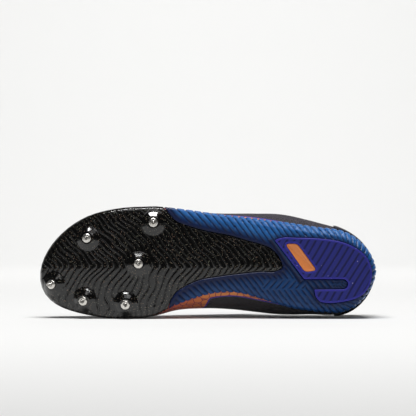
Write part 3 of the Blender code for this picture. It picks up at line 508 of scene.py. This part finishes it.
# Painted shade: the knit turns near black on the medial side, which lies on the floor, away from the toe.
dark = blend(tree, calc(tree, "MULTIPLY", measured(tree, "medial"), 0.8), dark, linear("#09080B"))
printed = step_up(tree, panel, -0.2, 0.3)
base = blend(tree, printed, dark, warm)
edge = calc(tree, "MULTIPLY", step_up(tree, panel, -1.5, -1.1), step_up(tree, panel, 0.3, 0.0))
base = blend(tree, edge, base, linear("#2C1A9C"))
soil = add_node(tree, "TexNoise", Vector=space, Scale=1 / 0.022, Detail=5.0)
base = blend(tree, calc(tree, "MULTIPLY", soil.outputs[0], 0.12), base, linear("#5A5358"))
weave = bump(tree, calc(tree, "MULTIPLY", loops, calc(tree, "SUBTRACT", 1.0, printed)), 0.00030)
rolled = measured(tree, "binding")
base = blend(tree, calc(tree, "MULTIPLY", rolled, 0.8), base, linear("#17131D"))
seam = add_node(tree, "TexWave", {"bands_direction": "X"}, Vector=space, Scale=WAVE / STITCH)
sewn = step_up(tree, seam.outputs["Fac"], 0.25, 0.4)
thread = calc(tree, "MULTIPLY", measured(tree, "stitch"), sewn)
base = blend(tree, thread, base, linear("#5A4FA8"))
weave = bump(tree, thread, 0.00035, weave)
raised = calc(tree, "MAXIMUM", printed, calc(tree, "MULTIPLY", edge, 2.0))
film_edge = bump(tree, raised, 0.00025, weave)
tiles = calc(tree, "MULTIPLY", calc(tree, "SUBTRACT", 1.0, line), printed)
crackled = bump(tree, tiles, 0.00012, film_edge)
finish_material(tree, output, Base_Color=base, Normal=crackled, Sheen_Weight=0.2,
                Roughness=calc(tree, "SUBTRACT", 0.85, calc(tree, "MULTIPLY", printed, 0.35)))

lining_cloth, tree, output = new_material("brushed_lining")  # thin brushed knit over foam
space = object_space(tree)
loops = knit(tree, space, LINING_PITCH)
base = blend(tree, loops, linear("#141218"), linear("#2B2833"))
finish_material(tree, output, Base_Color=base, Roughness=0.95, Sheen_Weight=0.3,
                Normal=bump(tree, loops, 0.0002))

upper = show(smooth_skin("upper"), "upper_shell", [upper_cloth, lining_cloth], "upper")
u, w, h = places(upper)
along_u, along_w, along_h = directions(upper)
from_core = np.where(u < 60, u - 60, np.maximum(u - 210, 0))
outward = along_u * from_core + along_w * (w - middle(u)) + along_h * (h - 26)
outer = ease(outward, 0, 6)
to_foam = distance_to(upper, tree_of("midsole"))
tail = np.interp(u, *TAIL_LINE) - to_foam
tail = np.where(u > 182, -4, tail)
body = np.minimum(u - (147 + (h - 24) * 0.42), (190 - (h - 20) * 0.25) - u)
store(upper, "panel", np.maximum(tail, body) * outer - 2 * (1 - outer))
store(upper, "along", u)
# Painted shade on the medial side, which lies on the floor.
store(upper, "medial", ease(middle(u) - w, 8, 20) * ease(190 - u, 0, 30))
top = np.interp(u, *COLLAR_LINE) - h
flex = sum(tall * np.exp(-((u - place + slant * (h - 40)) / wide) ** 2)
           for place, slant, wide, tall in FLEX_CREASES)
flex = flex * ease(h, 26, 40)
ankle = sum(tall * np.exp(-((h - place - slant * (u - 80)) / wide) ** 2)
            for place, slant, wide, tall in ANKLE_CREASES)
ankle = ankle * np.exp(-((u - 92) / 26) ** 2)
padding = 0.9 * np.exp(-((top - 7) / 5) ** 2) * (1 - ease(u, 96, 116))
along_edge = (1 - ease(u, 118, 128)) * (top < 12)
binding = np.exp(-((top - 1.2) / 2.2) ** 4) * along_edge
store(upper, "binding", binding)
store(upper, "stitch", np.exp(-((top - 5.2) / 0.45) ** 2) * along_edge * outer)
push(upper, (flex + ankle + padding) * outer + 0.55 * binding)
for face in upper.data.polygons:
    face.material_index = int(sum(outward[k] < 0 for k in face.vertices) > len(face.vertices) / 2)

# Insole: a foam footbed covered with the lining's knit.
# It lies loose on the midsole, and its soft edge fills the gap to the upper's wall.
insole = show(smooth_skin("insole", 1), "footbed", [lining_cloth], "insole")
push(insole, 0.9 * (1 - ease(np.abs(directions(insole)[2]), 0.3, 0.8)))

# Tongue: a padded tongue of the upper's knit, quilted into soft bars across the foot.
# It lies under the laces, and its front end is stretched on under the vamp.
QUILT_PITCH = 9.0  # mm
tongue = show(smooth_skin("tongue"), "tongue_pad", [upper_cloth], "tongue")
u, w = places(tongue)[:2]
store(tongue, "panel", np.full(len(u), -9.0))
store(tongue, "along", u)
quilt = np.abs(np.sin((u - 112) * math.pi / QUILT_PITCH)) ** 0.6
quilt = quilt * ease(14 - np.abs(w - middle(u) * 0.3), 0, 4)
push(tongue, 0.5 * quilt * ease(directions(tongue)[2], 0.2, 0.7))
push(tongue, 8 * ease(u, 168, 190), toe_axis)
push(tongue, 1.8 * ease(u, 166, 176) * (1 - ease(u, 179, 186)), up_axis)

# Overlays: thin moulded film glued on the upper, at the eyelets and round the heel.
# The film has a fine grain, and the heel loop is folded webbing, ribbed across.
film, tree, output = new_material("overlay_film")  # thermoplastic film, satin
space = object_space(tree)
grain = add_node(tree, "TexNoise", Vector=space, Scale=1 / 0.0011, Detail=3.0)
base = blend(tree, grain.outputs[0], linear("#100E14"), linear("#221E2B"))
finish_material(tree, output, Base_Color=base, Roughness=0.42,
                Normal=bump(tree, grain.outputs[0], 0.00008))
webbing, tree, output = new_material("woven_webbing")  # flat nylon tape, ribbed across
space = object_space(tree)
ribs = add_node(tree, "TexWave", {"bands_direction": "Z"}, Vector=space, Scale=WAVE / 0.0012)
base = blend(tree, ribs.outputs["Fac"], linear("#1E1470"), linear("#3B2CB0"))
finish_material(tree, output, Base_Color=base, Roughness=0.7, Sheen_Weight=0.2,
                Normal=bump(tree, ribs.outputs["Fac"], 0.00015))
show(smooth_skin("eyestay"), "eyestay_film", [film], "eyestay")
show(smooth_skin("heel_counter"), "counter_film", [film], "heel_counter")
show(smooth_skin("heel_tab", 1), "heel_loop", [webbing], "heel_tab")

# Eyelets: narrow rings of painted brass pressed into the film on both sides of the throat.
# The lace comes out of them.
enamel, tree, output = new_material("enamelled_eyelet")  # painted brass ring
finish_material(tree, output, Base_Color=linear("#3A3270"), Roughness=0.3, Metallic=0.4)
RING_RADIUS = 0.0024  # m
WIRE_RADIUS = 0.0006  # m
QUARTER_TURN = Matrix.Rotation(math.pi / 2, 3, "X")
LACES = ("lace_bar", "lace_cross_1", "lace_cross_2", "lace_cross_3", "lace_cross_4")
stay = tree_of("eyestay")
ends = [[row_point(121.8, side * 28 + 0.4, 80)] for side in (-1, 1)]
for node in LACES:
    corners = [v.co for v in frame["nodes"][node].data.vertices]
    for side in (-1, 1):
        reach = max(side * (c - origin).dot(side_axis) for c in corners)
        tip = [c for c in corners if side * (c - origin).dot(side_axis) > reach - 0.0025]
        ends[side > 0].append(sum(tip, Vector()) / len(tip))
holes = []
for side in (0, 1):
    for k, aim in enumerate(ends[side]):
        spot, normal = stay.find_nearest(aim, 0.02)[:2]
        if normal.dot(up_axis) < 0:
            normal = -normal
        holes.append((spot, normal))
        mesh = bmesh.new()
        ring = bmesh.ops.create_circle(mesh, segments=10, radius=WIRE_RADIUS)["verts"]
        bmesh.ops.translate(mesh, verts=ring, vec=(RING_RADIUS, 0, 0))
        bmesh.ops.rotate(mesh, verts=ring, cent=(RING_RADIUS, 0, 0), matrix=QUARTER_TURN)
        bmesh.ops.spin(mesh, geom=mesh.verts[:] + mesh.edges[:], cent=(0, 0, 0), axis=(0, 0, 1),
                       angle=2 * math.pi, steps=28, use_merge=True)
        bmesh.ops.recalc_face_normals(mesh, faces=mesh.faces)
        turn = normal.to_track_quat("Z", "Y").to_matrix().to_4x4()
        bmesh.ops.transform(mesh, matrix=turn, verts=mesh.verts)
        bmesh.ops.translate(mesh, verts=mesh.verts, vec=spot + normal * 0.0002)
        show(mesh, f"eyelet_{'ml'[side]}_{k}", [enamel])

# Laces: one flat woven lace run as a straight bar at the front and crossings behind it.
# Its upper runs bend down into the eyelets, and its lower runs slip under the edge of the throat.
LACE_WEAVE = 0.0005  # m
LACE_SINK = 0.0012  # m, how far a lace's end goes down into its eyelet
TUCK_OUT = 6.0  # mm, how far a lower run goes on under the edge of the throat
TUCK_DOWN = 3.0  # mm
lace_cloth, tree, output = new_material("woven_lace")  # flat tubular polyester lace
space = object_space(tree)
turned = add_node(tree, "Mapping", Vector=space, Rotation=(0.0, 0.6, 0.8),
                  Scale=(1 / LACE_WEAVE,) * 3)
soft = add_node(tree, "TexVoronoi", {"feature": "SMOOTH_F1"}, Vector=turned.outputs[0], Scale=1.0,
                Smoothness=0.4, Randomness=0.3)
base = blend(tree, soft.outputs["Distance"], linear("#4A3AB8"), linear("#1A1244"))
finish_material(tree, output, Base_Color=base, Roughness=0.8, Sheen_Weight=0.3,
                Normal=bump(tree, soft.outputs["Distance"], 0.0003))
for k, node in enumerate(LACES):
    lace = show(smooth_skin(node), f"lace_run_{k}", [lace_cloth], node)
    for point in lace.data.vertices:
        spot, normal = min(holes, key=lambda hole: (hole[0] - point.co).length)
        offset = spot - normal * LACE_SINK - point.co
        share = 1 - float(ease(offset.length, 0.0025, 0.0070))
        point.co += offset * 0.75 * share
    u, w = places(lace)[:2]
    across = w - (w.min() + w.max()) / 2
    ahead = u - (u.min() + u.max()) / 2
    reach = np.abs(across[ahead < -2.5]).max() if k else 99
    tucked = ease(np.abs(across), reach - 4.0, reach - 1.0) * (1 - ease(ahead, -3.0, -1.4))
    push(lace, TUCK_OUT * np.sign(across) * tucked, side_axis)
    push(lace, -TUCK_DOWN * tucked, up_axis)


# Studio: a seamless pale sweep of paper, with soft boxes above, in front and over the wall.
# The shoe lies on the paper on its medial side. None of this belongs to the object.
def stage_lamp(name, place, target, width, height, power):
    """A soft box at a place, turned to a target."""
    light = bpy.data.lights.new(name, "AREA")
    light.shape = "RECTANGLE"
    light.size = width
    light.size_y = height
    light.energy = power
    lamp = bpy.data.objects.new(name, light)
    lamp.location = place
    lamp.rotation_euler = (Vector(target) - Vector(place)).to_track_quat("-Z", "Y").to_euler()
    bpy.context.scene.collection.objects.link(lamp)


SWEEP_WIDTH = 5.0  # m
SWEEP_FRONT = -2.6  # m
SWEEP_BACK = 1.8  # m, where the floor starts to curve up
SWEEP_TOP = 3.0  # m
COVE = 0.8  # m, radius of the curve between floor and wall
profile = [(SWEEP_FRONT, 0.0), (SWEEP_BACK, 0.0)]
for k in range(1, 13):
    angle = math.pi / 24 * k
    profile.append((SWEEP_BACK + COVE * math.sin(angle), COVE - COVE * math.cos(angle)))
profile.append((SWEEP_BACK + COVE, SWEEP_TOP))
mesh = bmesh.new()
corners = [mesh.verts.new((-SWEEP_WIDTH / 2, y, z)) for y, z in profile]
edges = [mesh.edges.new(pair) for pair in zip(corners, corners[1:])]
swept = bmesh.ops.extrude_edge_only(mesh, edges=edges)["geom"]
swept = [part for part in swept if isinstance(part, bmesh.types.BMVert)]
bmesh.ops.translate(mesh, vec=(SWEEP_WIDTH, 0, 0), verts=swept)
bmesh.ops.recalc_face_normals(mesh, faces=mesh.faces)
data = bpy.data.meshes.new("paper_sweep")
mesh.to_mesh(data)
mesh.free()
data.shade_smooth()
paper = bpy.data.objects.new("paper_sweep", data)
bpy.context.scene.collection.objects.link(paper)
material, tree, output = new_material("sweep_paper")  # matte studio paper
finish_material(tree, output, Base_Color=linear("#E4E4E3"), Roughness=0.95, Specular_IOR_Level=0.1)
paper.data.materials.append(material)
stage_lamp("key_box", (0.0, -1.25, 1.30), (0, -0.02, 0.05), 1.3, 0.45, 3.6)
stage_lamp("top_strip", (0.0, -0.20, 1.78), (0, 0, 0), 1.2, 0.22, 36)
stage_lamp("front_box", (0.30, -1.1, 1.60), (0, 0, 0.05), 0.5, 0.3, 1.6)
stage_lamp("wall_wash", (0.0, 1.2, 1.5), (0, 2.6, 0.35), 2.8, 0.6, 30)
world = bpy.data.worlds.new("studio")
world.use_nodes = True
background = world.node_tree.nodes["Background"]
background.inputs["Color"].default_value = linear("#FFFFFF")
background.inputs["Strength"].default_value = 0.05
bpy.context.scene.world = world

# Camera: a long lens square to the sole, level, as in the photo.
# The floor runs out of the picture at the bottom, and the wall fills the top.
CAMERA_DISTANCE = 2.0  # m
SHOT_WIDTH = 0.356  # m at the sole
CAMERA_HEIGHT = 0.095  # m
sole_centre = row_point(145.4, 0, 0)
camera_data = bpy.data.cameras.new("photo_camera")
camera_data.sensor_width = 36
camera_data.lens = camera_data.sensor_width * CAMERA_DISTANCE / SHOT_WIDTH
camera = bpy.data.objects.new("photo_camera", camera_data)
camera.location = (sole_centre.x, sole_centre.y - CAMERA_DISTANCE, CAMERA_HEIGHT)
camera.rotation_euler = (math.radians(90), 0, 0)
bpy.context.scene.collection.objects.link(camera)
bpy.context.scene.camera = camera
bpy.context.scene.view_settings.view_transform = "Standard"
